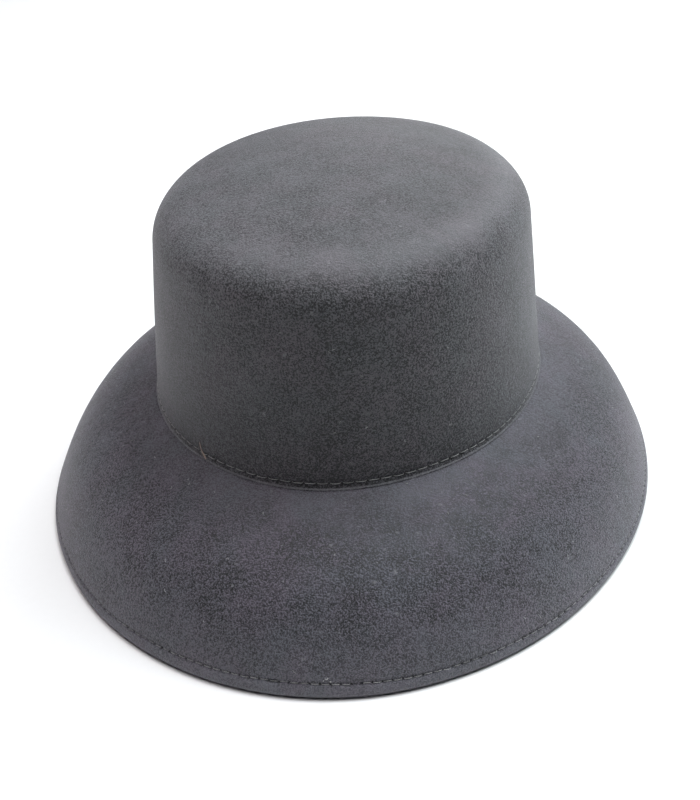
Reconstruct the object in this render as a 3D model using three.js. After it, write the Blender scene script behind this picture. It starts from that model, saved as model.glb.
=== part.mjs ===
// A soft-brimmed felt hat: a blocked crown with a rounded shoulder and a deep brim that turns down all round.
//
// The hat is two felt shells. The brim has an upright collar that stands inside the crown, and one seam
// sews crown, collar and sweatband together. The brim's edge is turned under into a hem that holds a
// ring of brim wire, whose two ends meet in a small sleeve at the back. Each row of stitching is a needle
// thread on the outside and a bobbin thread on the inside.
//
// Millimetres, +Z up, +Y towards the front of the hat. The origin is the centre of the brim's rim, on the
// surface that the hat stands on. Sections are drawn as (radius, height) on a round hat, and then drawn
// out into the oval of a head.
import * as THREE from "three";

// Driving dimensions.
const HEAD_HALF_LENGTH = 105; // outside of the crown at its seam, front to back
const HEAD_HALF_WIDTH = 89;
const FELT = 2.2; // thickness of both felt shells
const GAP = 0.3; // air left between pieces that lie on each other
const SEAM_HEIGHT = 52.3; // the seam's height above the surface that the hat stands on
const CROWN_HEIGHT = 96.5; // from the seam to the top of the crown
const CROWN_LEAN = 0.112; // how much the crown's wall leans in for each millimetre that it rises
const SHOULDER = { across: 22.5, up: 18.8 }; // the rounded edge of the crown's top
const DOME = 7.4; // rise of the top from its rounded edge to the centre
const CROWN_EDGE = 0.6; // the crown's cut edge above the brim
const BRIM_REACH = 56.8; // how far the brim stands out from the crown, level
const BRIM_LONGER_AT_ENDS = 0.065; // the brim is this share deeper front and back, and shallower at the sides
const BRIM_SLOPE = { at_seam: 18, at_rim: 64 }; // how steeply the brim falls, in degrees
const COLLAR_HEIGHT = 12;
const HEM_LAP = 6.5; // how far the turned-under felt lies on the brim, above the fold
const HEM_STITCHES_UP = 2.2; // above the fold
const SEAM_STITCHES_UP = 2.6; // above the crown's lower edge
const THREAD_RADIUS = 0.3;
const THREAD_GAP = 0.12;
const WIRE_RADIUS = 0.35;
const SLEEVE = { inner: 0.7, outer: 0.88 };
const BAND = { thickness: 0.8, below_seam: 2, above_seam: 24 };
const TAB = { thickness: 0.8, width: 14, from: 6.5, to: 22.5 }; // heights above the seam
const TAG = { thickness: 0.4, width: 16, from: 7, to: 17, round_the_back: 24 };

// How finely round things are cut.
const SIDES = 56; // around the head
const CORD_SIDES = 6; // around a wire or a thread
const BRIM_STEPS = 8; // from the seam to the rim

const HEAD_RADIUS = (HEAD_HALF_LENGTH + HEAD_HALF_WIDTH) / 2;
const OVAL_SPREAD = (HEAD_HALF_LENGTH - HEAD_HALF_WIDTH) / 2;
const radians = THREE.MathUtils.degToRad;
const vec = (radius, height) => new THREE.Vector2(radius, height);

// ---- The oval of the head ----

// The point of the oval that a round section of this radius becomes, at an angle counted from the back.
function onOval(radius, angle, height) {
  const spread = OVAL_SPREAD * Math.min(1, radius / HEAD_RADIUS);
  const deeper = BRIM_LONGER_AT_ENDS * Math.max(0, radius - HEAD_RADIUS);
  const halfLength = radius + spread + deeper;
  const halfWidth = radius - spread - deeper;
  return new THREE.Vector3(halfWidth * Math.sin(angle), -halfLength * Math.cos(angle), height);
}

// Revolves a section that closes on itself, or that starts and ends on the axis, and draws it into the oval.
function turned(section) {
  const geometry = new THREE.LatheGeometry(section, SIDES).rotateX(Math.PI / 2);
  const position = geometry.getAttribute("position");
  for (let i = 0; i < position.count; i++) {
    const x = position.getX(i);
    const y = position.getY(i);
    const point = onOval(Math.hypot(x, y), Math.atan2(x, -y), position.getZ(i));
    position.setXYZ(i, point.x, point.y, point.z);
  }
  geometry.computeVertexNormals();
  return geometry;
}

// Carries a closed shape, drawn as (radius, height), part of the way round the oval between two angles.
function swept(shape, from, to, steps) {
  const geometry = new THREE.ExtrudeGeometry(shape, { depth: to - from, steps, bevelEnabled: false });
  const position = geometry.getAttribute("position");
  for (let i = 0; i < position.count; i++) {
    const point = onOval(position.getX(i), -from - position.getZ(i), position.getY(i));
    position.setXYZ(i, point.x, point.y, point.z);
  }
  geometry.computeVertexNormals();
  return geometry;
}

// The angle at the back of the hat that covers this many millimetres on a section of this radius.
const angleOf = (millimetres, radius) => millimetres / Math.abs(onOval(radius, Math.PI / 2, 0).x);

// A circle's points in the section, clockwise, the last on the first.
function circle(centre, radius, sides) {
  const points = [];
  for (let i = 0; i <= sides; i++) {
    const angle = (-2 * Math.PI * (i % sides)) / sides;
    points.push(vec(centre.x + radius * Math.cos(angle), centre.y + radius * Math.sin(angle)));
  }
  return points;
}

// ---- Crown ----

// The radius of the crown's outside this high above the seam, on its straight wall.
const wallRadius = (up) => HEAD_RADIUS - CROWN_LEAN * up;

function crown() {
  const meetsWall = Math.atan((CROWN_LEAN * SHOULDER.up) / SHOULDER.across);
  const meetsTop = radians(77);
  const endUp = CROWN_HEIGHT - DOME - SHOULDER.up * (Math.sin(meetsTop) - Math.sin(meetsWall));
  const centre = vec(
    wallRadius(endUp) - SHOULDER.across * Math.cos(meetsWall),
    SEAM_HEIGHT + endUp - SHOULDER.up * Math.sin(meetsWall));
  // From the centre of the top down to the cut edge, this deep below the outside.
  const surface = (depth) => {
    const shoulder = new THREE.EllipseCurve(
      centre.x, centre.y, SHOULDER.across - depth, SHOULDER.up - depth, meetsTop, meetsWall, true, 0);
    const edge = shoulder.getPoint(0);
    const top = SEAM_HEIGHT + CROWN_HEIGHT - depth;
    const dome = new THREE.QuadraticBezierCurve(vec(0, top), vec(edge.x / 2, top), edge);
    const wall = new THREE.LineCurve(
      shoulder.getPoint(1), vec(wallRadius(CROWN_EDGE) - depth, SEAM_HEIGHT + CROWN_EDGE));
    return [...dome.getPoints(4), ...shoulder.getPoints(6).slice(1), ...wall.getPoints(2).slice(1)];
  };
  return turned([...surface(FELT), ...surface(0).reverse()]);
}

// ---- Brim ----

const CHANNEL = 1; // radius of the hollow in the hem that holds the wire
const FOLD = 2.75; // radius of the fold of felt round it
const WIRE = vec(HEAD_RADIUS + BRIM_REACH - FOLD, FOLD - 0.3); // the fold is pressed flat where it stands

// The outside of the brim from the seam to where the fold starts.
const brimOutside = (() => {
  const rim = radians(BRIM_SLOPE.at_rim);
  const seam = radians(BRIM_SLOPE.at_seam);
  const from = vec(HEAD_RADIUS, SEAM_HEIGHT);
  const to = vec(WIRE.x + FOLD * Math.sin(rim), WIRE.y + FOLD * Math.cos(rim));
  const span = from.distanceTo(to);
  const leave = vec(Math.cos(seam), -Math.sin(seam)).multiplyScalar(0.52 * span);
  const arrive = vec(-Math.cos(rim), Math.sin(rim)).multiplyScalar(0.4 * span);
  return new THREE.CubicBezierCurve(from, from.clone().add(leave), to.clone().add(arrive), to);
})();

// The point this far up the brim from its fold, and this deep below its outside.
function inBrim(up, depth) {
  const share = 1 - up / brimOutside.getLength();
  const point = brimOutside.getPointAt(share);
  const along = brimOutside.getTangentAt(share);
  return vec(point.x + along.y * depth, point.y - along.x * depth);
}

// Points on an arc round the wire, from one angle to another, both in degrees.
function roundWire(radius, from, to, steps) {
  const arc = new THREE.EllipseCurve(WIRE.x, WIRE.y, radius, radius, radians(from), radians(to), from > to, 0);
  return arc.getPoints(steps);
}

const LAP = FELT + GAP; // depth of the turned-under felt's near face
const collarRadius = (up) => wallRadius(up) - FELT - GAP;

function brim() {
  const collarTop = SEAM_HEIGHT + COLLAR_HEIGHT;
  const length = brimOutside.getLength();
  const outside = [];
  for (let i = 1; i <= BRIM_STEPS; i++) outside.push(inBrim(length * (1 - i / BRIM_STEPS), 0));
  const underside = outside.map((_, i) => (length * (i + 1)) / BRIM_STEPS).filter((up) => up > HEM_LAP + 4);
  const toInside = length - FELT; // where the underside bends up into the collar
  const fold = roundWire(FOLD, 90 - BRIM_SLOPE.at_rim, -90 - BRIM_SLOPE.at_rim, 9);
  const hem = [1.5, 4, HEM_LAP];
  return turned([
    vec(collarRadius(COLLAR_HEIGHT) - FELT, collarTop),
    vec(collarRadius(COLLAR_HEIGHT), collarTop),
    vec(collarRadius(1), SEAM_HEIGHT + 1),
    vec(collarRadius(0) + 0.3, SEAM_HEIGHT + 0.2),
    inBrim(length - 0.5, 0),
    ...outside,
    ...fold.slice(1).map((point) => vec(point.x, Math.max(0, point.y))),
    ...hem.map((up) => inBrim(up, LAP + FELT)),
    ...hem.toReversed().map((up) => inBrim(up, LAP)),
    ...roundWire(CHANNEL, 101.5, 442.5, 9), // between the two lips of the slot
    ...[...hem, HEM_LAP + 3].map((up) => inBrim(up, FELT)),
    ...underside.filter((up) => up < toInside).map((up) => inBrim(up, FELT)),
    vec(collarRadius(0) - FELT + 0.5, SEAM_HEIGHT - FELT + 0.5),
    vec(collarRadius(2) - FELT, SEAM_HEIGHT + 2),
    vec(collarRadius(COLLAR_HEIGHT) - FELT, collarTop),
  ].reverse());
}

// ---- Brim wire and the sleeve over its ends ----

function brimWire() {
  const end = angleOf(1, WIRE.x); // the ends stop a millimetre short of the back
  return swept(new THREE.Shape(circle(WIRE, WIRE_RADIUS, CORD_SIDES)), end, 2 * Math.PI - end, 96);
}

function wireSleeve() {
  const tube = new THREE.Shape(circle(WIRE, SLEEVE.outer, 10));
  tube.holes.push(new THREE.Path(circle(WIRE, SLEEVE.inner, 10).reverse()));
  const side = (2 * Math.PI) / SIDES; // its two straight halves lie along the channel's
  return swept(tube, -side, side, 2);
}

// ---- Stitching: the needle's thread outside and the bobbin's inside ----

const ringOfThread = (centre) => turned(circle(centre, THREAD_RADIUS, CORD_SIDES).reverse());
const besideFelt = THREAD_GAP + THREAD_RADIUS;
const bandRadius = (up) => collarRadius(up) - FELT - GAP; // outside of the sweatband
const SEAM_ROW = CROWN_EDGE + SEAM_STITCHES_UP;

const seamNeedleThread = () => ringOfThread(vec(wallRadius(SEAM_ROW) + besideFelt, SEAM_HEIGHT + SEAM_ROW));
const seamBobbinThread = () => ringOfThread(
  vec(bandRadius(SEAM_ROW) - BAND.thickness - besideFelt, SEAM_HEIGHT + SEAM_ROW));
const hemNeedleThread = () => ringOfThread(inBrim(HEM_STITCHES_UP, -besideFelt));
const hemBobbinThread = () => ringOfThread(inBrim(HEM_STITCHES_UP, LAP + FELT + besideFelt));

// ---- Sweatband, the tab over its join, and the size tag ----

// A four-cornered section against the sweatband's leaning face: between two heights above the seam, and
// between two depths inside the sweatband's outer face.
function leaning(from, to, near, far) {
  return [
    vec(bandRadius(from) - near, SEAM_HEIGHT + from),
    vec(bandRadius(to) - near, SEAM_HEIGHT + to),
    vec(bandRadius(to) - far, SEAM_HEIGHT + to),
    vec(bandRadius(from) - far, SEAM_HEIGHT + from),
    vec(bandRadius(from) - near, SEAM_HEIGHT + from),
  ];
}

const sweatband = () => turned(leaning(-BAND.below_seam, BAND.above_seam, 0, BAND.thickness));

// A strip laid on the sweatband's inner face, centred so many millimetres round from the back.
function onSweatband(piece, round) {
  const near = BAND.thickness + GAP;
  const shape = new THREE.Shape(leaning(piece.from, piece.to, near, near + piece.thickness));
  const middle = angleOf(round, bandRadius(0));
  const half = angleOf(piece.width / 2, bandRadius(0));
  return swept(shape, middle - half, middle + half, 4);
}

// ---- The whole hat ----

const hat = new THREE.Group();
hat.name = "felt_hat";

function add(name, geometry, color, roughness, metalness = 0) {
  const piece = new THREE.Mesh(geometry, new THREE.MeshStandardMaterial({ color, roughness, metalness }));
  piece.name = name;
  hat.add(piece);
}

const CHARCOAL = 0x3d3d41;
const THREAD_GREY = 0x6b6b70;

add("crown", crown(), CHARCOAL, 0.95);
add("brim", brim(), CHARCOAL, 0.95);
add("brim_wire", brimWire(), 0x9a9ca0, 0.35, 1);
add("wire_sleeve", wireSleeve(), 0xb08d4f, 0.4, 1);
add("crown_seam_thread", seamNeedleThread(), THREAD_GREY, 0.7);
add("crown_seam_bobbin_thread", seamBobbinThread(), THREAD_GREY, 0.7);
add("hem_thread", hemNeedleThread(), THREAD_GREY, 0.7);
add("hem_bobbin_thread", hemBobbinThread(), THREAD_GREY, 0.7);
add("sweatband", sweatband(), 0x1f1f22, 0.8);
add("sweatband_tab", onSweatband(TAB, 0), 0x1f1f22, 0.8);
add("size_tag", onSweatband(TAG, TAG.round_the_back), 0xd9d7d1, 0.75);

export default hat;
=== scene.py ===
# %% [markdown]
# # A charcoal felt hat
#
# The real hat is two shells of wool felt that were steamed and pulled over wooden blocks: a crown with a
# rounded shoulder, and a deep brim that turns down all round. The crown is lapped over an upright collar on
# the brim and sewn to it, the rim is turned under round a wire and sewn down, and a grosgrain sweatband
# lines the head opening. The hat stands on its rim, at height 0, with its back towards -Y.
#
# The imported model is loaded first. It fixes where everything is, so each piece below is made in its frame,
# in metres, and is drawn straight into its place.

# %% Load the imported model
import math
import random
from bisect import bisect_left

import bmesh
import bpy
from mathutils import Matrix, Vector, noise


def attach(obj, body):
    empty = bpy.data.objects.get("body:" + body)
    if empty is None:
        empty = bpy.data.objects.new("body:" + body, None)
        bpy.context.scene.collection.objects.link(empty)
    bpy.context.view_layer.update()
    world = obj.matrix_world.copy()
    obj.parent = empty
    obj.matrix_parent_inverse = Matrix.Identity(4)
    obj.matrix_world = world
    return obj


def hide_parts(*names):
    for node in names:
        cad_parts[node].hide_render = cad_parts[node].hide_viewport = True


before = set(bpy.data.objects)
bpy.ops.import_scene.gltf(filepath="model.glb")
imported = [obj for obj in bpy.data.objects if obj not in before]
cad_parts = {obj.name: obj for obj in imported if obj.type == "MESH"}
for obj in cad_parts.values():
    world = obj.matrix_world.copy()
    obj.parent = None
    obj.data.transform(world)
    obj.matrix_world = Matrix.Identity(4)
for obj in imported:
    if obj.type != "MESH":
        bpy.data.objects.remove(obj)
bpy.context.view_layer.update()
MM = 0.001

# %% [markdown]
# ## Camera
#
# A lens of about 50 mm stands half a metre from the hat, a third of the way up, a little to the right of
# the back, and leans by a few degrees. The camera is turned by a matrix made of the three directions that
# it needs: what is right, what is up, and what is behind it.

# %% Set up the camera
AIM = Vector((0, 0, 72.3)) * MM
CAMERA_ROUND, CAMERA_UP, CAMERA_LEAN = (math.radians(degrees) for degrees in (11.494, 32.901, 2.766))
CAMERA_DISTANCE = 511.5 * MM
LENS, SENSOR = 49.52, 36
CAMERA_ASIDE, CAMERA_LIFT = -0.85 * MM, -38.55 * MM

level = Vector((math.cos(CAMERA_ROUND), math.sin(CAMERA_ROUND), 0))
behind = Vector((
    math.sin(CAMERA_ROUND) * math.cos(CAMERA_UP),
    -math.cos(CAMERA_ROUND) * math.cos(CAMERA_UP),
    math.sin(CAMERA_UP)))
upright = behind.cross(level)
lens_right = level * math.cos(CAMERA_LEAN) - upright * math.sin(CAMERA_LEAN)
lens_up = level * math.sin(CAMERA_LEAN) + upright * math.cos(CAMERA_LEAN)

camera_data = bpy.data.cameras.new("camera")
camera_data.lens = LENS
camera_data.sensor_width = SENSOR
camera_data.clip_start, camera_data.clip_end = 0.01, 50
camera = bpy.data.objects.new("camera", camera_data)
turn_of_camera = Matrix((lens_right, lens_up, behind)).transposed().to_4x4()
place_of_camera = AIM + behind * CAMERA_DISTANCE + level * CAMERA_ASIDE + upright * CAMERA_LIFT
camera.matrix_world = Matrix.Translation(place_of_camera) @ turn_of_camera
bpy.context.scene.collection.objects.link(camera)
bpy.context.scene.camera = camera
print("the camera stands at", [round(value / MM) for value in place_of_camera], "mm")

# %% [markdown]
# ## The oval of a head
#
# A hat is drawn round, as a section of radii and heights, and then drawn out into the oval of a head: longer
# from front to back than from side to side. Beyond the head the brim is also a little deeper at the front
# and the back. Steps round an oval bunch up at its ends, so the angle is first shifted by a small sine that
# makes them nearly even, which keeps every stitch the same length.
#
# Felt is never quite regular. The brim swells by a millimetre on one side of the back, and one smooth
# noise field moves every point of every piece by a fraction of a millimetre, so that pieces that lie on
# each other still do. The noise is read at three places, one for each direction, with `noise.noise`, which
# is the same in every run. `noise.noise_vector` is not, because the clock seeds it.

# %% Draw a round section into the oval
HEAD_HALF_LENGTH, HEAD_HALF_WIDTH = 105 * MM, 89 * MM
HEAD_RADIUS = (HEAD_HALF_LENGTH + HEAD_HALF_WIDTH) / 2
OVAL_SPREAD = (HEAD_HALF_LENGTH - HEAD_HALF_WIDTH) / 2
BRIM_LONGER_AT_ENDS = 0.065
EVEN_STEPS = OVAL_SPREAD / HEAD_RADIUS / 2
BRIM_SWELL, SWELL_AT = 1.0 * MM, math.radians(32)
UNEVENNESS = 0.35 * MM
LUMP_SIZE = 55 * MM
NOISE_PLACES = [Vector((0, 0, 0)), Vector((31.7, 5.3, 0)), Vector((0, 47.3, 11.9))]
TURN = 2 * math.pi


def place(radius, height, angle):
    """The point of the hat at a radius and height of its round section, at an angle from the back."""
    spread = OVAL_SPREAD * min(1, radius / HEAD_RADIUS)
    deeper = BRIM_LONGER_AT_ENDS * max(0, radius - HEAD_RADIUS)
    out_on_brim = max(0, radius - HEAD_RADIUS) / HEAD_RADIUS
    radius += BRIM_SWELL * min(1, 2 * out_on_brim) * max(0, math.cos(angle - SWELL_AT)) ** 2
    evened = angle + EVEN_STEPS * math.sin(2 * angle)
    point = Vector((
        (radius - spread - deeper) * math.sin(evened),
        -(radius + spread + deeper) * math.cos(evened),
        height))
    shift = Vector([noise.noise(point / LUMP_SIZE + aside) for aside in NOISE_PLACES]) * UNEVENNESS
    shift.z *= min(1, max(0, height / (20 * MM)))
    return point + shift


round_the_seam = [place(HEAD_RADIUS, 52.3 * MM, TURN * i / 360) for i in range(361)]
seam_length = sum((b - a).length for a, b in zip(round_the_seam, round_the_seam[1:]))
print("round the crown's seam:", round(seam_length / MM), "mm")

# %% [markdown]
# ## From a section to a shell
#
# `bmesh.ops.spin` turns a chain of points once round the upright axis, with one step to each stitch. The
# first and last copies are merged, and so are the copies of a point that lies on the axis. Each step is then
# cut into a few columns by subdividing the edges that run round, and the new points are pushed out from the
# chord onto the circle. Last, the normals are made to point outwards.
#
# The columns are drawn together at the needle holes, where the surface changes fastest.

# %% Turn a section into a shell
GATHER = 0.5


def turned(section, steps, columns, closed=True):
    """A bmesh made by turning a chain of (radius, height) points once round the upright axis."""
    bm = bmesh.new()
    chain = [bm.verts.new((0, -radius, height)) for radius, height in section]
    links = list(zip(chain, chain[1:] + chain[:1])) if closed else list(zip(chain, chain[1:]))
    for a, b in links:
        bm.edges.new((a, b))
    bmesh.ops.spin(
        bm, geom=bm.verts[:] + bm.edges[:], cent=(0, 0, 0), axis=(0, 0, 1), angle=TURN,
        steps=steps, use_merge=True)
    bmesh.ops.remove_doubles(bm, verts=bm.verts, dist=0.001 * MM)
    reach = bm.verts.layers.float.new("reach")
    for vert in bm.verts:
        vert[reach] = math.hypot(vert.co.x, vert.co.y)
    round_edges = [
        edge for edge in bm.edges
        if abs(edge.verts[0].co.z - edge.verts[1].co.z) < 0.0001 * MM
        and abs(edge.verts[0][reach] - edge.verts[1][reach]) < 0.0001 * MM]
    bmesh.ops.subdivide_edges(bm, edges=round_edges, cuts=columns - 1)
    for vert in bm.verts:
        if vert[reach] > 0:
            vert.co.xy *= vert[reach] / math.hypot(vert.co.x, vert.co.y)
    bm.verts.layers.float.remove(reach)
    bmesh.ops.recalc_face_normals(bm, faces=bm.faces)
    bm.normal_update()
    return bm


def section_place(vert):
    """(radius, height, angle) of a vert of a shell that is still round."""
    radius = math.hypot(vert.co.x, vert.co.y)
    return radius, vert.co.z, math.atan2(vert.co.x, -vert.co.y) % TURN


def gathered(angle, stitches):
    """The same angle, drawn towards the nearest needle hole."""
    return angle - GATHER * math.sin(angle * stitches) / stitches


def into_oval(bm, stitches=0):
    for vert in bm.verts:
        radius, height, angle = section_place(vert)
        vert.co = place(radius, height, gathered(angle, stitches) if stitches else angle)


# %% [markdown]
# A finished bmesh becomes a piece: an object at the origin, shaded smooth, that rides on the hat's one body,
# takes its finish, and hides the node of the imported model that it stands for.

# %% Make a bmesh into a piece
def piece(name, bm, node, finish):
    mesh = bpy.data.meshes.new(name)
    bm.to_mesh(mesh)
    bm.free()
    mesh.materials.append(finish)
    mesh.shade_smooth()
    made = bpy.data.objects.new(name, mesh)
    bpy.context.scene.collection.objects.link(made)
    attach(made, "root")
    if node:
        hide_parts(node)
    size = made.dimensions / MM
    print(f"{name}: {len(mesh.polygons)} faces, {size.x:.1f} x {size.y:.1f} x {size.z:.1f} mm")
    return made


# %% [markdown]
# ## Shader sums
#
# A finish is a small network of nodes. Writing it as sums keeps it readable, so `Signal` wraps a node's
# output and turns `+`, `-` and `*` into Math nodes. Everything else comes from `Finish.node`, which
# sets a node's settings first and then its inputs, from values or from other signals.

# %% Write nodes as sums
class Signal:
    """What comes out of a node."""

    def __init__(self, finish, socket):
        self.finish = finish
        self.socket = socket

    def sum(self, operation, *values):
        return self.finish.node("Math", {"operation": operation}, dict(enumerate(values)))

    def __add__(self, other):
        return self.sum("ADD", self, other)

    def __sub__(self, other):
        return self.sum("SUBTRACT", self, other)

    def __rsub__(self, other):
        return self.sum("SUBTRACT", other, self)

    def __mul__(self, other):
        return self.sum("MULTIPLY", self, other)

    __radd__ = __add__
    __rmul__ = __mul__


class Finish:
    """A material that is being put together."""

    def __init__(self, name):
        self.material = bpy.data.materials.new(name)
        self.material.use_nodes = True
        self.tree = self.material.node_tree
        self.tree.nodes.clear()

    def node(self, kind, settings=None, inputs=None, output=0):
        made = self.tree.nodes.new("ShaderNode" + kind)
        for setting, value in (settings or {}).items():
            setattr(made, setting, value)
        for socket, value in (inputs or {}).items():
            if isinstance(value, Signal):
                self.tree.links.new(value.socket, made.inputs[socket])
            else:
                made.inputs[socket].default_value = value
        return Signal(self, made.outputs[output])

    def noise(self, where, size, detail=2, roughness=0.5, distortion=0):
        """A noise from 0 to 1 whose largest lumps are about this size."""
        settings = {"noise_dimensions": "3D"}
        return self.node("TexNoise", settings, {
            "Vector": where, "Scale": 1 / size, "Detail": detail, "Roughness": roughness,
            "Distortion": distortion})

    def sharpened(self, signal, low, high):
        """0 where the signal is below low, 1 where it is above high, and straight between."""
        return self.node("MapRange", {"clamp": True}, {"Value": signal, "From Min": low, "From Max": high})

    def mixed(self, share, first, second):
        """A colour between two, by a share from 0 to 1."""
        settings = {"data_type": "RGBA", "blend_type": "MIX", "clamp_factor": True}
        return self.node("Mix", settings, {0: share, 6: first, 7: second}, output=2)

    def shaded(self, colour, bump=None, **sockets):
        """Ends the network in a Principled shader. Numbers go straight onto its sockets."""
        inputs = {"Base Color": colour}
        if bump:
            height, distance, strength = bump
            inputs["Normal"] = self.node("Bump", None, {
                "Height": height, "Distance": distance, "Strength": strength})
        for socket, value in sockets.items():
            inputs[socket.replace("_", " ")] = value
        shader = self.node("BsdfPrincipled", None, inputs)
        end = self.tree.nodes.new("ShaderNodeOutputMaterial")
        self.tree.links.new(shader.socket, end.inputs["Surface"])
        return self.material


def grey(value, warmth=0.0):
    """A grey, made warmer or cooler by a small share."""
    return (value * (1 + warmth), value, value * (1 - warmth), 1)


# %% [markdown]
# ## Felt
#
# Felt has no weave. It is a mat of fine crimped fibres, so up close it is a speckle of lighter fibres over
# darker gaps, and from further off it is cloudy, because the fibres don't all lie the same way and don't all
# take the dye alike. Ridged noise draws thin crooked lines, like fibres, and plain noise gives tufts of
# about 2 mm and clouds of about 2 cm. One more shifts the grey a little between violet and blue. Light
# caught by the nap brightens felt towards its outline, which is what the shader's sheen is for.
#
# The pieces carry an attribute called tone, which holds painted shade and painted light: it darkens needle
# holes, stitch grooves and the foot of the crown's wall as painted shade, and lightens the crown's cut edge,
# top and shoulder and the brim's hem band, fold, rim and root as painted highlights.

# %% Mix the felt
FIBRE_SIZE, GRAIN_SIZE = 1.1 * MM, 0.7 * MM
TUFT_SIZE, CLOUD_SIZE, DYE_SIZE, SPECK_SIZE = 2.6 * MM, 15 * MM, 24 * MM, 2.3 * MM
# The pale grey is for pale specks and for painted highlights.
GAP_GREY, SPECK_AND_HIGHLIGHT_GREY = (0.013, 0.013, 0.015, 1), (0.26, 0.26, 0.28, 1)


def felt_finish(name, violet, blue, nap, contrast):
    """Felt whose lightest fibres are dyed between two greys.

    The nap is how much of it stands up, and the contrast is how far the fibres stand out from the gaps.
    """
    felt = Finish(name)
    where = felt.node("TexCoord", output="Object")
    fibres = felt.node(
        "TexNoise", {"noise_dimensions": "3D", "noise_type": "RIDGED_MULTIFRACTAL", "normalize": True},
        {"Vector": where, "Scale": 1 / FIBRE_SIZE, "Detail": 1.0, "Roughness": 0.8, "Lacunarity": 2.0,
         "Offset": 0.9, "Gain": 2.0, "Distortion": 0.8})
    grains = felt.noise(where, GRAIN_SIZE, detail=1, roughness=0.6)
    tufts = felt.noise(where, TUFT_SIZE, detail=2, roughness=0.6, distortion=0.6)
    clouds = felt.noise(where, CLOUD_SIZE, detail=3, roughness=0.6)
    dye = felt.noise(where, DYE_SIZE, detail=3, roughness=0.6, distortion=0.5)
    specks = felt.noise(where, SPECK_SIZE, detail=0)
    painted_shading = felt.node("Attribute", {"attribute_name": "painted_shading"}, output="Fac")
    crests = felt.sharpened(fibres, 0.9, 1.35)
    tips = felt.sharpened(grains, 0.49, 0.68)
    # The last term adds the painted shade and painted highlights that the pieces carry.
    light = (
        crests * (0.75 * contrast)
        + tips * contrast
        + felt.sharpened(tufts, 0.36, 0.7) * 0.26
        + felt.sharpened(clouds, 0.33, 0.67) * (0.3 * contrast)
        - (0.43 * contrast - 0.31)
        + painted_shading)
    dyed = felt.mixed(felt.sharpened(dye, 0.38, 0.62), violet, blue)
    body = felt.mixed(light, GAP_GREY, dyed)
    # Pale specks are the felt's own. The rest of this share is painted highlight from the pieces, drawn
    # towards the pale grey.
    specks_and_highlight = felt.sharpened(specks, 0.8, 0.84) * 0.4 + painted_shading * crests * 0.6 + painted_shading * 0.4
    colour = felt.mixed(specks_and_highlight, body, SPECK_AND_HIGHLIGHT_GREY)
    height = crests * 0.3 + tips * 0.5 + tufts * 0.7
    return felt.shaded(
        colour, bump=(height, 0.5 * MM, 0.8), Roughness=0.6, Specular_IOR_Level=0.5,
        Sheen_Weight=nap, Sheen_Roughness=0.4, Sheen_Tint=(0.92, 0.92, 0.96, 1))


crown_felt = felt_finish("crown_felt", (0.123, 0.112, 0.128, 1), (0.110, 0.113, 0.124, 1), 0.33, 1.7)
brim_felt = felt_finish("brim_felt", (0.127, 0.110, 0.144, 1), (0.112, 0.113, 0.139, 1), 0.27, 1.15)
print("felt nodes:", len(crown_felt.node_tree.nodes))


# %% [markdown]
# ## Stitch rows
#
# A row of lockstitch is a line of small holes with the felt pulled in between them. `pucker` moves the verts
# near a row into the felt: a shallow groove all along it, and a deeper dimple at each hole, and both get
# painted shade, most at the hole. It works on the round section, where the row is one point, before the shell
# becomes an oval.

# %% Pull the felt in along a row of stitches
NEAR_A_ROW = 6 * MM
GROOVE_WIDTH, HOLE_WIDTH = 0.8 * MM, 0.55 * MM


def everywhere(angle):
    """A row that shows all round."""
    return 1.0


def pucker(bm, row, stitches, groove, hole, darker=1.0, shows=everywhere):
    """Pulls a round shell in along a row, which gives its (radius, height) at each angle.

    How far the holes show, from 0 to 1, may also change with the angle.
    """
    painted_shading = bm.verts.layers.float.get("painted_shading") or bm.verts.layers.float.new("painted_shading")
    middle = row(0)
    pitch = TURN * middle.x / stitches
    for vert in bm.verts:
        radius, height, angle = section_place(vert)
        if math.hypot(radius - middle.x, height - middle.y) > NEAR_A_ROW:
            continue
        angle = gathered(angle, stitches)
        nearest = row(angle)
        across = math.hypot(radius - nearest.x, height - nearest.y)
        place_in_stitch = angle * stitches / TURN % 1
        along = min(place_in_stitch, 1 - place_in_stitch) * pitch
        in_groove = math.exp(-(across / GROOVE_WIDTH) ** 2)
        in_hole = math.exp(-(across ** 2 + along ** 2) / HOLE_WIDTH ** 2)
        vert.co -= vert.normal * (groove * in_groove + hole * in_hole)
        # Painted shade in the groove, and more in the needle hole.
        vert[painted_shading] -= (0.12 * in_groove + 0.5 * in_hole) * darker * shows(angle)


# %% [markdown]
# ## Crown
#
# The crown's section is a shallow dome, a rounded shoulder, and a straight wall that leans in slightly. It is
# drawn once for the outside and once for the inside, and joined at the cut edge. Just below its stitches the
# cut edge spreads a little and lies on the brim, and its fibres catch the light.

# %% Draw the crown's section
SEAM_HEIGHT = 52.3 * MM
FELT = 2.2 * MM
CROWN_HEIGHT = 96.5 * MM
CROWN_LEAN = 0.112
SHOULDER_ACROSS, SHOULDER_UP = 22.5 * MM, 18.8 * MM
DOME = 7.4 * MM
MEETS_TOP = math.radians(77)
MEETS_WALL = math.atan(CROWN_LEAN * SHOULDER_UP / SHOULDER_ACROSS)


def wall_radius(up):
    return HEAD_RADIUS - CROWN_LEAN * up


SHOULDER_ENDS = CROWN_HEIGHT - DOME - SHOULDER_UP * (math.sin(MEETS_TOP) - math.sin(MEETS_WALL))
SHOULDER_CENTRE = (
    wall_radius(SHOULDER_ENDS) - SHOULDER_ACROSS * math.cos(MEETS_WALL),
    SEAM_HEIGHT + SHOULDER_ENDS - SHOULDER_UP * math.sin(MEETS_WALL))


def spaced(first, last, count):
    """Evenly spaced numbers from first to last, both included."""
    return [first + (last - first) * i / (count - 1) for i in range(count)]


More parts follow.
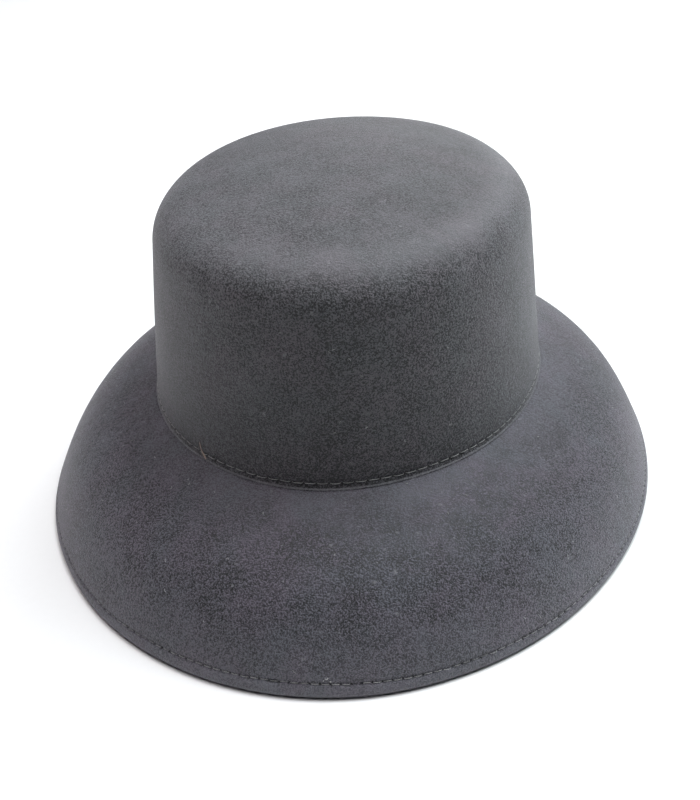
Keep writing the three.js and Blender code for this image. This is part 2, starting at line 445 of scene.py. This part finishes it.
def crown_surface(depth, dome_points, shoulder_points, wall_ups):
    """(radius, height) from the centre of the top down the wall, this deep below the outside."""
    across, up = SHOULDER_ACROSS - depth, SHOULDER_UP - depth
    shoulder = [
        (SHOULDER_CENTRE[0] + across * math.cos(turn), SHOULDER_CENTRE[1] + up * math.sin(turn))
        for turn in spaced(MEETS_TOP, MEETS_WALL, shoulder_points)]
    top = SEAM_HEIGHT + CROWN_HEIGHT - depth
    edge_radius, edge_height = shoulder[0]
    dome = [
        (edge_radius * share, top + (edge_height - top) * share ** 2)
        for share in spaced(0, 1, dome_points)[:-1]]
    wall = [(wall_radius(up) - depth, SEAM_HEIGHT + up) for up in wall_ups]
    return dome + shoulder + wall


SEAM_ROW_UP = 2.4 * MM
SEAM_STITCHES = 118
above_row = [up * MM for up in (68, 64, 60, 55, 50, 45, 40, 35, 30, 25, 20, 16, 12.5, 10, 8, 6.6, 5.6, 5)]
at_row = [up * MM for up in (4.4, 3.9, 3.5, 3.2, 2.95, 2.7, 2.45, 2.2, 1.95, 1.7, 1.4)]
EDGE = [
    (-0.12, 1.0), (-0.02, 0.68), (0.06, 0.52), (0.2, 0.38), (0.36, 0.2), (0.5, 0.0), (0.56, -0.2),
    (0.3, -0.26), (-1.2, 0.1)]
cut_edge = [(HEAD_RADIUS + out * MM, SEAM_HEIGHT + up * MM) for out, up in EDGE]
crown_outside = crown_surface(0, 15, 15, above_row + at_row) + cut_edge
crown_inside = crown_surface(FELT, 7, 7, [up * MM for up in (55, 40, 25, 12, 6, 2.5, 1)])
crown_section = crown_outside + crown_inside[::-1]
print("crown section:", len(crown_section), "points")


# %% [markdown]
# A hatter blocks the crown: a felt cone is steamed, pulled over a wooden block, tied down and left to dry.
# Turning the section gives that shape. Then the stitches pull the wall in, and painted light and shade are
# added:
# a painted highlight on the bare cut edge, lighter than the felt above it, where its fibres catch the light,
# painted shade on the foot of the wall, a little darker next to the brim, and a painted highlight on the top
# and the shoulder, the shoulder most on one side.

# %% Turn the crown
# How strong the crown's painted highlights and painted shade are, and where they lie.
EDGE_LIGHTER, TOP_LIGHTER, SHOULDER_LIGHTER = 0.55, 0.12, 0.22
FOOT_DARKER, FOOT_REACH = 0.32, 26 * MM
TOP_LIGHT_FROM, TOP_LIGHT_FULLY = CROWN_HEIGHT - 14 * MM, CROWN_HEIGHT - 5 * MM
SHOULDER_HIGHLIGHT_AT, SHOULDER_HIGHLIGHT_WIDTH = math.radians(58), math.radians(24)
SHOULDER_HIGHLIGHT_SIDE = math.radians(80)


def lighten(bm, amount, low, high, least_radius):
    """Lightens the verts between two heights, outside a radius: a painted highlight along an edge."""
    painted_shading = bm.verts.layers.float.get("painted_shading") or bm.verts.layers.float.new("painted_shading")
    for vert in bm.verts:
        radius, height, _ = section_place(vert)
        if low <= height <= high and radius >= least_radius:
            vert[painted_shading] += amount


def seam_row(angle):
    """Where the seam's stitches go through the outside of the crown."""
    up = SEAM_ROW_UP + 0.12 * MM * math.sin(3 * angle + 1) + 0.08 * MM * math.sin(11 * angle)
    return Vector((wall_radius(up), SEAM_HEIGHT + up))


crown = turned(crown_section, SEAM_STITCHES, 7, closed=False)
pucker(crown, seam_row, SEAM_STITCHES, 0.45 * MM, 0.45 * MM, darker=0.6)
# A painted highlight on the cut edge, where its fibres catch the light.
lighten(crown, EDGE_LIGHTER, SEAM_HEIGHT - 0.05 * MM, SEAM_HEIGHT + 0.55 * MM, HEAD_RADIUS)
painted_shading = crown.verts.layers.float["painted_shading"]
for vert in crown.verts:
    radius, height, angle = section_place(vert)
    up = height - SEAM_HEIGHT
    # Painted shade on the foot of the wall, next to the brim.
    if up > 0.6 * MM:
        vert[painted_shading] -= FOOT_DARKER * math.exp(-up / FOOT_REACH)
    # A painted highlight on the top.
    vert[painted_shading] += TOP_LIGHTER * min(1, max(0, (up - TOP_LIGHT_FROM) / (TOP_LIGHT_FULLY - TOP_LIGHT_FROM)))
    # A painted highlight on the shoulder, strongest on one side.
    if radius > SHOULDER_CENTRE[0] - 10 * MM and height > SHOULDER_CENTRE[1] - 5 * MM:
        round_shoulder = math.atan2(height - SHOULDER_CENTRE[1], radius - SHOULDER_CENTRE[0])
        one_side = 1 + 0.8 * math.cos(angle - SHOULDER_HIGHLIGHT_SIDE)
        off_middle = (round_shoulder - SHOULDER_HIGHLIGHT_AT) / SHOULDER_HIGHLIGHT_WIDTH
        vert[painted_shading] += SHOULDER_LIGHTER * one_side * math.exp(-off_middle ** 2)
into_oval(crown, SEAM_STITCHES)
piece("felt_crown", crown, "crown", crown_felt)

# %% [markdown]
# ## Brim
#
# The brim's outside is one smooth curve, gentle where it leaves the crown and steep at the rim. At the rim
# the felt folds round the wire and lies back against the brim as a hem. At the seam it turns up into the
# collar that the crown is sewn to. All of that is one closed section, drawn in the order that a finger would
# follow it: up the collar, over it, down the outside, round the fold, up the hem and back up the underside.
#
# The curve is a cubic Bezier, and points on it are found by their distance up from the fold, so a short
# table of distances along it comes first.

# %% Draw the brim's curve
BRIM_REACH = 56.8 * MM
FOLD = 2.75 * MM
WIRE = Vector((HEAD_RADIUS + BRIM_REACH - FOLD, FOLD - 0.3 * MM))
SEAM_SLOPE, RIM_SLOPE = math.radians(18), math.radians(64)

brim_start = Vector((HEAD_RADIUS, SEAM_HEIGHT))
brim_end = WIRE + Vector((math.sin(RIM_SLOPE), math.cos(RIM_SLOPE))) * FOLD
span = (brim_end - brim_start).length
leave = brim_start + Vector((math.cos(SEAM_SLOPE), -math.sin(SEAM_SLOPE))) * 0.52 * span
arrive = brim_end + Vector((-math.cos(RIM_SLOPE), math.sin(RIM_SLOPE))) * 0.4 * span
CURVE_STEPS = 400


def on_curve(t):
    s = 1 - t
    return brim_start * s ** 3 + leave * 3 * s * s * t + arrive * 3 * s * t * t + brim_end * t ** 3


curve_points = [on_curve(i / CURVE_STEPS) for i in range(CURVE_STEPS + 1)]
up_from_fold = [0.0]
for a, b in zip(curve_points[::-1], curve_points[-2::-1]):
    up_from_fold.append(up_from_fold[-1] + (b - a).length)
BRIM_LENGTH = up_from_fold[-1]


def in_brim(up, depth):
    """The point this far up the brim from its fold, and this deep below its outside."""
    i = min(max(1, bisect_left(up_from_fold, up)), CURVE_STEPS - 1)
    point = curve_points[CURVE_STEPS - i]
    along = (curve_points[CURVE_STEPS - i + 1] - curve_points[CURVE_STEPS - i - 1]).normalized()
    point = point - along * (up - up_from_fold[i])
    return point + Vector((along.y, -along.x)) * depth


print("the brim is", round(BRIM_LENGTH / MM, 1), "mm deep along its curve, above the fold")

# %% [markdown]
# The hem's felt lies a hair's breadth from the brim's, so the section goes into that slot and round the
# channel that the wire lies in. Rows of points crowd together where the stitches are. The fold is pressed
# flat at the bottom, where the hat stands.

# %% Draw the brim's section
HEM_LAP = 6.5 * MM
SLOT = 0.3 * MM
CHANNEL = 1.0 * MM
COLLAR_HEIGHT = 12 * MM
HEM_STITCHES = 246


def round_the_wire(radius, degrees):
    turns = [math.radians(value) for value in degrees]
    return [WIRE + Vector((math.cos(turn), math.sin(turn))) * radius for turn in turns]


def collar(up, depth):
    return Vector((wall_radius(up) - FELT - SLOT - depth, SEAM_HEIGHT + up))


collar_up = [
    collar(1 * MM, FELT), collar(6 * MM, FELT), collar(11.5 * MM, FELT), collar(COLLAR_HEIGHT, 0.7 * FELT),
    collar(COLLAR_HEIGHT, 0.3 * FELT), collar(11.5 * MM, 0), collar(6 * MM, 0), collar(1.2 * MM, 0)]
root = [collar(0.2 * MM, -0.4 * MM), collar(-0.1 * MM, -1.2 * MM)]
down_brim = [in_brim(up * MM, 0) for up in (
    76, 73.5, 70, 66, 62, 57, 52, 47, 42, 37, 32, 27, 22, 18, 14.5, 11.5, 9, 7, 5.6, 4.8,
    4.2, 3.8, 3.45, 3.1, 2.75, 2.4, 2.05, 1.7, 1.35, 1.0, 0.6, 0.2)]
fold = round_the_wire(FOLD, (26, 12, -4, -22, -42, -64, -78, -90, -102, -116, -134, -150))
fold = [Vector((point.x, max(0, point.y))) for point in fold]
hem_face = [in_brim(up * MM, FELT + SLOT + FELT) for up in (0.8, 1.4, 2.0, 2.6, 3.2, 4.0, 5.2, 6.3)]
hem_end = [in_brim(HEM_LAP, FELT + SLOT + share * FELT) for share in (0.75, 0.25)]
slot_down = [in_brim(up * MM, FELT + SLOT) for up in (5.5, 2.5)]
channel = round_the_wire(CHANNEL, range(101, 445, 38))
slot_up = [in_brim(up * MM, FELT) for up in (2.5, 5.5)]
underside = [in_brim(up * MM, FELT) for up in (9, 15, 22, 30, 38, 46, 54, 62, 70, 76)]
root_inside = [collar(-1.2 * MM, FELT - 1.4 * MM), collar(-0.6 * MM, FELT - 0.3 * MM)]

brim_section = (
    collar_up + root + down_brim + fold + hem_face + hem_end + slot_down + channel + slot_up
    + underside + root_inside)
print("brim section:", len(brim_section), "points")


# %% [markdown]
# The brim is blocked the same way, and its rim is turned in over a wire and sewn. Turning the closed section
# gives the brim, the fold and the hem behind it as one piece. The hem's row of stitches shows on both faces.
# Below the row the hem band is painted lighter, a painted highlight on its raised face. The underside of the
# fold gets painted light where it would stand in shade, the lower brim is painted lighter towards the rim, as
# light thrown up from the table, and the brim next to the crown gets a painted highlight. On one stretch at
# the back's left the nap has closed over the stitches, and they hardly show.

# %% Turn the brim
NAP_CLOSED_AT, NAP_CLOSED_WIDTH = math.radians(-55), math.radians(36)
# How strong the brim's painted highlights and painted light are, and how far they reach.
HEM_LIGHTER, FOLD_LIGHTER = 0.14, 0.5
RIM_LIGHTER, RIM_REACH = 0.28, 28 * MM
ROOT_LIGHTER, ROOT_REACH = 0.22, 16 * MM


def hem_up(angle):
    """How far above the fold the hem's stitches are: the row wanders by almost a millimetre either way."""
    return (2.5 + 0.8 * math.cos(3 * angle + 0.42) + 0.08 * math.sin(13 * angle)) * MM


def hem_row(angle):
    return in_brim(hem_up(angle), 0)


def hem_shows(angle):
    """1 where the hem's stitches lie free, and less where the felt's nap has closed over them."""
    from_middle = math.remainder(angle - NAP_CLOSED_AT, TURN)
    return 1 - 0.85 * math.exp(-(from_middle / NAP_CLOSED_WIDTH) ** 2)


def hem_row_inside(angle):
    return in_brim(hem_up(angle), FELT + SLOT + FELT)


brim = turned(brim_section, HEM_STITCHES, 4)
pucker(brim, hem_row, HEM_STITCHES, 0.3 * MM, 0.6 * MM, shows=hem_shows)
pucker(brim, hem_row_inside, HEM_STITCHES, 0.25 * MM, 0.4 * MM)
painted_shading = brim.verts.layers.float["painted_shading"]
for vert in brim.verts:
    radius, height, angle = section_place(vert)
    # A painted highlight on the hem band below the row.
    below_row = hem_row(angle).y - height if radius > HEAD_RADIUS + 45 * MM and height < 10 * MM else 0
    vert[painted_shading] += HEM_LIGHTER * min(1, max(0, below_row / (1.5 * MM)))
    # Painted light on the underside of the fold, which stands in shade.
    if height < WIRE.y and radius > WIRE.x - FOLD:
        vert[painted_shading] += FOLD_LIGHTER * min(1, (WIRE.y - height) / FOLD)
    # Painted light on the lower brim, strongest at the rim, as if thrown up from the table.
    if radius > HEAD_RADIUS + 30 * MM:
        vert[painted_shading] += RIM_LIGHTER * max(0, 1 - height / RIM_REACH)
    # A painted highlight on the brim next to the crown.
    elif radius > HEAD_RADIUS:
        vert[painted_shading] += ROOT_LIGHTER * max(0, 1 - (radius - HEAD_RADIUS) / ROOT_REACH)
into_oval(brim, HEM_STITCHES)
piece("felt_brim", brim, "brim", brim_felt)


# %% [markdown]
# ## Thread
#
# Spun sewing thread is two or three plies twisted together. On each stitch it lies on the felt, and at each
# hole it dives in to lock with the thread on the other side. One closed line that rises and dips does that
# for a whole row, so the row is a curve with a round bevel, made into a mesh.

# %% Mix the thread
def thread_finish(name, dark, bright):
    thread = Finish(name)
    where = thread.node("TexCoord", output="Object")
    twist = thread.node("Attribute", {"attribute_name": "along"}, output="Fac")
    plies = thread.node("Math", {"operation": "SINE"}, {0: twist * (TURN / (0.7 * MM))}) * 0.5 + 0.5
    fluff = thread.noise(where, 0.9 * MM, detail=3, roughness=0.6)
    light = plies * 0.35 + thread.sharpened(fluff, 0.3, 0.7) * 0.65
    colour = thread.mixed(light, dark, bright)
    return thread.shaded(
        colour, bump=(plies, 0.06 * MM, 0.6), Roughness=0.7, Specular_IOR_Level=0.3, Sheen_Weight=0.3)


grey_thread = thread_finish("grey_thread", grey(0.25), grey(0.72))
dark_thread = thread_finish("dark_thread", grey(0.12), grey(0.5))
print("thread finishes:", grey_thread.name, "for the seam and", dark_thread.name, "for the hem")

# %% [markdown]
# Each stitch has eight points. Their heights above the felt go from deep in the hole to lying on the surface.
# A stitch's ends sit lower than its middle, because the tension pulls the thread tight there.

# %% Sew a row of stitches
THREAD_RADIUS = 0.125 * MM
BURIED = 0.25 * MM
STITCH_SHAPE = [
    (0, -1.1), (0.08, -0.6), (0.17, -0.05), (0.33, 0.06), (0.5, 0.08), (0.67, 0.06), (0.83, -0.05),
    (0.92, -0.6)]


def sewn(name, row, outwards, stitches, sink, thread, node, seed, shows=everywhere):
    """A closed row of stitches, standing out along a direction and sunk by so much into the felt.

    Where the row doesn't show, it is sunk deeper.
    """
    draw = random.Random(seed)
    outline = bpy.data.curves.new(name, "CURVE")
    outline.dimensions = "3D"
    outline.bevel_depth = THREAD_RADIUS
    outline.bevel_resolution = 1
    path = []
    for stitch in range(stitches):
        aside = draw.gauss(0, 0.12) * MM
        pull = draw.gauss(0, 0.08) * MM
        for share, out in STITCH_SHAPE:
            angle = TURN * (stitch + share) / stitches
            height = out * MM - sink + (pull if 0.1 < share < 0.9 else 0) - BURIED * (1 - shows(angle))
            sideways = aside * math.sin(math.pi * share)
            point = row(angle) + outwards * height + Vector((-outwards.y, outwards.x)) * sideways
            path.append(place(point.x, point.y, angle))
    line = outline.splines.new("POLY")
    line.points.add(len(path) - 1)
    line.use_cyclic_u = True
    for target, point in zip(line.points, path):
        target.co = (*point, 1)
    bm = tube_of(outline)
    along = bm.verts.layers.float.new("along")
    for vert in bm.verts:
        vert[along] = math.atan2(vert.co.x, -vert.co.y) * row(0).x
    return piece(name, bm, node, thread)


def tube_of(outline):
    """The bmesh of a curve with a round bevel. The curve is used up."""
    shaped = bpy.data.objects.new(outline.name + "_line", outline)
    bpy.context.scene.collection.objects.link(shaped)
    bpy.context.view_layer.update()
    tube = bpy.data.meshes.new_from_object(shaped.evaluated_get(bpy.context.evaluated_depsgraph_get()))
    bpy.data.objects.remove(shaped)
    bm = bmesh.new()
    bm.from_mesh(tube)
    bpy.data.meshes.remove(tube)
    bmesh.ops.remove_doubles(bm, verts=bm.verts, dist=0.0001 * MM)
    bmesh.ops.recalc_face_normals(bm, faces=bm.faces)
    return bm


wall_out = Vector((1, CROWN_LEAN)).normalized()
hem_out = Vector((math.sin(RIM_SLOPE), math.cos(RIM_SLOPE)))
sewn(
    "seam_stitching", seam_row, wall_out, SEAM_STITCHES, 0.18 * MM, grey_thread, "crown_seam_thread", 1)
sewn(
    "hem_stitching", hem_row, hem_out, HEM_STITCHES, 0.28 * MM, dark_thread, "hem_thread", 2, hem_shows)
sewn(
    "hem_stitching_inside", hem_row_inside, -hem_out, HEM_STITCHES, 0.2 * MM, dark_thread,
    "hem_bobbin_thread", 3)

# %% [markdown]
# ## Sweatband
#
# Grosgrain is a ribbon with thick crosswise ribs. Sewn inside the head opening, it keeps the felt clean and
# the size steady. The ribs run up and down the band, a little over one to the millimetre.

# %% Mix the grosgrain
def grosgrain_finish():
    ribbon = Finish("black_grosgrain")
    where = ribbon.node("TexCoord", output="Object")
    along = ribbon.node("Attribute", {"attribute_name": "along"}, output="Fac")
    up = ribbon.node("Attribute", {"attribute_name": "up"}, output="Fac")
    rib = ribbon.node("Math", {"operation": "SINE"}, {0: along * (TURN / (0.85 * MM))}) * 0.5 + 0.5
    yarn = ribbon.node("Math", {"operation": "SINE"}, {0: up * (TURN / (0.3 * MM))}) * 0.5 + 0.5
    wear = ribbon.noise(where, 9 * MM, detail=3, roughness=0.6)
    light = rib * 0.55 + yarn * 0.15 + ribbon.sharpened(wear, 0.3, 0.7) * 0.3
    colour = ribbon.mixed(light, (0.006, 0.006, 0.007, 1), (0.036, 0.036, 0.040, 1))
    return ribbon.shaded(
        colour, bump=(rib + yarn * 0.25, 0.25 * MM, 0.8), Roughness=0.55 + wear * 0.25,
        Specular_IOR_Level=0.45, Sheen_Weight=0.25)


black_grosgrain = grosgrain_finish()
print("grosgrain nodes:", len(black_grosgrain.node_tree.nodes))


# %% [markdown]
# The band is one strip, as long as the opening is round, which stands just inside the brim's collar. It is
# turned like the felt, from a section with slightly rounded edges, so that its ribs can be drawn by how far
# along it each vert is. The crown's seam goes through it, so its stitches show on the inside as well.

# %% Line the head opening
BAND_THICKNESS = 0.8 * MM
ROUNDED = 0.15 * MM


def band_point(up, depth):
    """A point this far above the seam and this deep inside the sweatband's outer face."""
    return Vector((wall_radius(up) - 2 * (FELT + SLOT) - depth, SEAM_HEIGHT + up))


def ribbon_layers(bm):
    """Records how far along and how far up a ribbon each vert is, for its ribs."""
    along = bm.verts.layers.float.new("along")
    up = bm.verts.layers.float.new("up")
    for vert in bm.verts:
        vert[along] = math.atan2(vert.co.x, -vert.co.y) * HEAD_RADIUS
        vert[up] = vert.co.z


band_ups = [up * MM for up in (-2, -1.4, 0, 1.2, 1.8, 2.4, 3.0, 4.5, 9, 14, 19, 23.3, 24)]
band_out = [band_point(up, ROUNDED if up in (band_ups[0], band_ups[-1]) else 0) for up in band_ups]
band_in = [
    band_point(up, BAND_THICKNESS - (ROUNDED if up in (band_ups[0], band_ups[-1]) else 0))
    for up in band_ups]


def band_row(angle):
    """Where the seam's stitches come out through the sweatband."""
    return band_point(seam_row(angle).y - SEAM_HEIGHT, BAND_THICKNESS)


band = turned(band_in + band_out[::-1], SEAM_STITCHES, 4)
pucker(band, band_row, SEAM_STITCHES, 0.15 * MM, 0.15 * MM)
into_oval(band, SEAM_STITCHES)
ribbon_layers(band)
sweatband = piece("ribbon_sweatband", band, "sweatband", black_grosgrain)

seam_stitching_inside = sewn(
    "seam_stitching_inside", band_row, -wall_out, SEAM_STITCHES, 0.02 * MM, grey_thread,
    "crown_seam_bobbin_thread", 4)


# %% [markdown]
# The ends of the band meet at the back, under a short tab of the same ribbon. A blank size tag lies beside
# it. Both are small grids of faces that are bent onto the band, given a thickness by `bmesh.ops.solidify`,
# and softened along their edges by a bevel.

# %% Lay strips on the band
def strip(name, width, ups, round_the_back, thickness, node, finish, bulge=0.0):
    """A strip on the sweatband's inner face, centred so far round from the back."""
    low, high = ups
    bm = bmesh.new()
    bmesh.ops.create_grid(bm, x_segments=16, y_segments=14, size=0.5)
    for vert in bm.verts:
        across, up = vert.co.x, low + (vert.co.y + 0.5) * (high - low)
        lift = bulge * math.cos(math.pi * across) * math.cos(math.pi * vert.co.y)
        point = band_point(up, BAND_THICKNESS + 0.3 * MM + lift)
        angle = (round_the_back + across * width) / HEAD_HALF_WIDTH
        vert.co = place(point.x, point.y, angle)
    bmesh.ops.recalc_face_normals(bm, faces=bm.faces)
    bm.normal_update()
    inwards = Vector((0, 1, 0))
    if sum(face.normal.dot(inwards) for face in bm.faces) > 0:
        bmesh.ops.reverse_faces(bm, faces=bm.faces)
    bmesh.ops.solidify(bm, geom=bm.faces[:], thickness=thickness)
    bmesh.ops.recalc_face_normals(bm, faces=bm.faces)
    corners = [edge for edge in bm.edges if len(edge.link_faces) == 2 and edge.calc_face_angle() > 1]
    bmesh.ops.bevel(
        bm, geom=corners, offset=0.25 * thickness, offset_type="OFFSET", segments=2, profile=0.5,
        affect="EDGES", material=-1)
    ribbon_layers(bm)
    return piece(name, bm, node, finish)


def satin_finish():
    satin = Finish("blank_satin")
    where = satin.node("TexCoord", output="Object")
    up = satin.node("Attribute", {"attribute_name": "up"}, output="Fac")
    threads = satin.node("Math", {"operation": "SINE"}, {0: up * (TURN / (0.35 * MM))}) * 0.5 + 0.5
    soil = satin.noise(where, 5 * MM, detail=3)
    colour = satin.mixed(threads * 0.3 + soil * 0.7, (0.5, 0.48, 0.44, 1), (0.75, 0.74, 0.7, 1))
    return satin.shaded(colour, bump=(threads, 0.08 * MM, 0.5), Roughness=0.4 + soil * 0.2, Sheen_Weight=0.2)


tab = strip(
    "ribbon_tab", 14 * MM, (6.5 * MM, 22.5 * MM), 0, 0.8 * MM, "sweatband_tab",
    black_grosgrain, bulge=0.2 * MM)
tag = strip(
    "blank_tag", 16 * MM, (7 * MM, 17 * MM), -24 * MM, 0.4 * MM, "size_tag", satin_finish(),
    bulge=0.3 * MM)


# %% [markdown]
# ## Lint and straw
#
# Felt collects whatever is about. Short pale curls of lint cling to it, two of them where the hem's stitching
# starts and stops, and a thin husk of straw is caught in the crown's seam. Each is a bent tube of a few faces
# that lies a hair's breadth above the felt: a list of points, each on a surface, at an angle from the back
# and a distance up from the seam or the fold.

# %% Scatter the lint
def on_crown(up, out):
    return Vector((wall_radius(up) + out, SEAM_HEIGHT + up + out * CROWN_LEAN))


def on_brim(up, out):
    return in_brim(up, -out)


def curl(draw, surface, angle, up, length):
    """The points of a fibre that lies on a surface and wanders as it goes."""
    heading = draw.uniform(0, TURN)
    points = []
    for step in range(5):
        at = surface(up, (0.1 + 0.12 * (step % 2)) * MM)
        points.append(place(at.x, at.y, angle))
        heading += draw.gauss(0, 0.7)
        angle += math.cos(heading) * length / 4 / at.x
        up += math.sin(heading) * length / 4
    return points


def fibres_on_felt(name, lines, finish):
    """One piece made of thin tubes. A line is a list of points and a list of radii."""
    outline = bpy.data.curves.new(name, "CURVE")
    outline.dimensions = "3D"
    outline.bevel_depth = 1
    outline.bevel_resolution = 0
    outline.use_fill_caps = True
    for points, radii in lines:
        line = outline.splines.new("POLY")
        line.points.add(len(points) - 1)
        for target, point, radius in zip(line.points, points, radii):
            target.co = (*point, 1)
            target.radius = radius
    return piece(name, tube_of(outline), None, finish)


def plain_fibre_finish(name, dark, bright, size):
    fibre = Finish(name)
    where = fibre.node("TexCoord", output="Object")
    patches = fibre.noise(where, size, detail=2)
    return fibre.shaded(
        fibre.mixed(fibre.sharpened(patches, 0.3, 0.7), dark, bright), Roughness=0.7, Specular_IOR_Level=0.3)


NOTICED_ON_CROWN = [(8.2, 25.2), (8.8, 59.5), (15.8, 26.2)]
NOTICED_ON_BRIM = [
    (-41, 64.8), (-28, 67), (-27.2, 65), (-20, 67), (-7.3, 64.5), (37.5, 9.5), (24.5, 75.5), (30.5, 58.8),
    (7.3, 4.0), (6.6, 5.2), (6.4, 4.9), (6.8, 5.1)]
draw = random.Random(5)
lint_lines = []
for surface, noticed in ((on_crown, NOTICED_ON_CROWN), (on_brim, NOTICED_ON_BRIM)):
    for degrees, up in noticed:
        lint_lines.append((curl(draw, surface, math.radians(degrees), up * MM, 0.9 * MM), [0.17 * MM] * 5))
for _ in range(160):
    surface, reach = draw.choice(((on_crown, 66), (on_brim, 72)))
    at = (draw.uniform(0, TURN), draw.uniform(3, reach) * MM)
    radius = draw.uniform(0.05, 0.11) * MM
    lint_lines.append((curl(draw, surface, *at, draw.uniform(0.5, 2.2) * MM), [radius] * 5))
pale_lint = plain_fibre_finish("pale_lint", grey(0.3), grey(0.55), 2 * MM)
fibres_on_felt("lint", lint_lines, pale_lint)

STRAW = [(-29.9, 7.0, 0.12), (-29.6, 5.4, 0.16), (-29.3, 3.9, 0.18), (-28.7, 2.7, 0.24), (-28.2, 1.9, 0.36),
         (-27.8, 1.1, 0.36), (-27.6, 0.6, 0.15)]
straw_points = []
for degrees, up, _ in STRAW:
    at = on_crown(up * MM, 0.4 * MM)
    straw_points.append(place(at.x, at.y, math.radians(degrees)))
dry_straw = plain_fibre_finish("dry_straw", (0.34, 0.26, 0.21, 1), (0.75, 0.6, 0.54, 1), 1.5 * MM)
straw_radii = [radius * MM for *_, radius in STRAW]
fibres_on_felt("straw_husk", [(straw_points, straw_radii)], dry_straw)


# %% [markdown]
# ## Metal inside the hem
#
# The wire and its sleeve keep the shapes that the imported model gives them, and only get a finish: drawn
# steel with fine marks, and brass that has dulled a little.

# %% Finish the wire and its sleeve
def metal_finish(name, dark, bright, size, roughness):
    metal = Finish(name)
    where = metal.node("TexCoord", output="Object")
    marks = metal.noise(where, size, detail=4, roughness=0.6)
    colour = metal.mixed(metal.sharpened(marks, 0.3, 0.7), dark, bright)
    return metal.shaded(colour, bump=(marks, 0.02 * MM, 0.4), Roughness=roughness + marks * 0.2, Metallic=1.0)


spring_steel = metal_finish("spring_steel", grey(0.32), grey(0.5), 0.8 * MM, 0.25)
dull_brass = metal_finish("dull_brass", (0.42, 0.27, 0.1, 1), (0.62, 0.44, 0.2, 1), 1.5 * MM, 0.3)
for node, finish in (("brim_wire", spring_steel), ("wire_sleeve", dull_brass)):
    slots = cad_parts[node].data.materials
    slots.clear()
    slots.append(finish)
print("metal pieces keep the packed model's shapes")


# %% [markdown]
# ## Studio
#
# A white table stands in soft light from all sides, with the strongest light above and to the right, and the
# least from where the camera stands.

# %% Lay the floor
TABLE_RADIUS = 1.6


def floor_finish():
    paper = Finish("white_paper")
    where = paper.node("TexCoord", output="Object")
    grain = paper.noise(where, 3 * MM, detail=2)
    return paper.shaded(paper.mixed(grain, grey(0.92), grey(0.94)), Roughness=0.9, Specular_IOR_Level=0.1)


table = bmesh.new()
bmesh.ops.create_circle(table, cap_ends=True, segments=128, radius=TABLE_RADIUS)
floor_mesh = bpy.data.meshes.new("floor")
table.to_mesh(floor_mesh)
table.free()
floor_mesh.materials.append(floor_finish())
floor = bpy.data.objects.new("floor", floor_mesh)
bpy.context.scene.collection.objects.link(floor)
print("the table is", 2 * TABLE_RADIUS, "m across")

# %% [markdown]
# Each light is a square of the same size that faces the hat, so shadows are soft. The strongest hangs high
# on the right, and none stands in front. The sky gives no light: it only shows behind the table's edge.

# %% Hang the lights
LIGHTS = {
    "above": ((0, 0, 1.8), 1.2, 17, (1, 1, 1)),
    "high_behind": ((0, 0.8, 1.8), 1.2, 5, (1, 1, 1)),
    "high_right": ((0.8, 0.6, 1.6), 1.2, 33, (0.93, 1.005, 1.03)),
    "high_left": ((-0.7, 0.1, 1.7), 1.2, 5.5, (1.08, 0.96, 1.02)),
    "behind": ((0.1, 1.9, 0.4), 1.2, 10, (1, 1, 1)),
    "left": ((-1.8, 0, 0.5), 1.2, 0.7, (1.3, 0.9, 1.1)),
}
SKY = 0.6


def hang(name, position, size, power, colour):
    data = bpy.data.lights.new(name, "AREA")
    data.shape = "SQUARE"
    data.size = size
    data.energy = power
    data.color = colour
    light = bpy.data.objects.new(name, data)
    light.location = position
    light.rotation_mode = "QUATERNION"
    light.rotation_quaternion = (AIM - light.location).to_track_quat("-Z", "Y")
    bpy.context.scene.collection.objects.link(light)


for name, settings in LIGHTS.items():
    hang(name, *settings)

sky = bpy.data.worlds.new("sky")
sky.use_nodes = True
sky.node_tree.nodes["Background"].inputs["Color"].default_value = (1, 1, 1, 1)
sky.node_tree.nodes["Background"].inputs["Strength"].default_value = SKY
for ray in ("diffuse", "glossy", "transmission", "scatter"):
    setattr(sky.cycles_visibility, ray, False)
bpy.context.scene.world = sky
bpy.context.scene.view_settings.view_transform = "Standard"
bpy.context.scene.view_settings.look = "None"
print("lights:", ", ".join(LIGHTS))
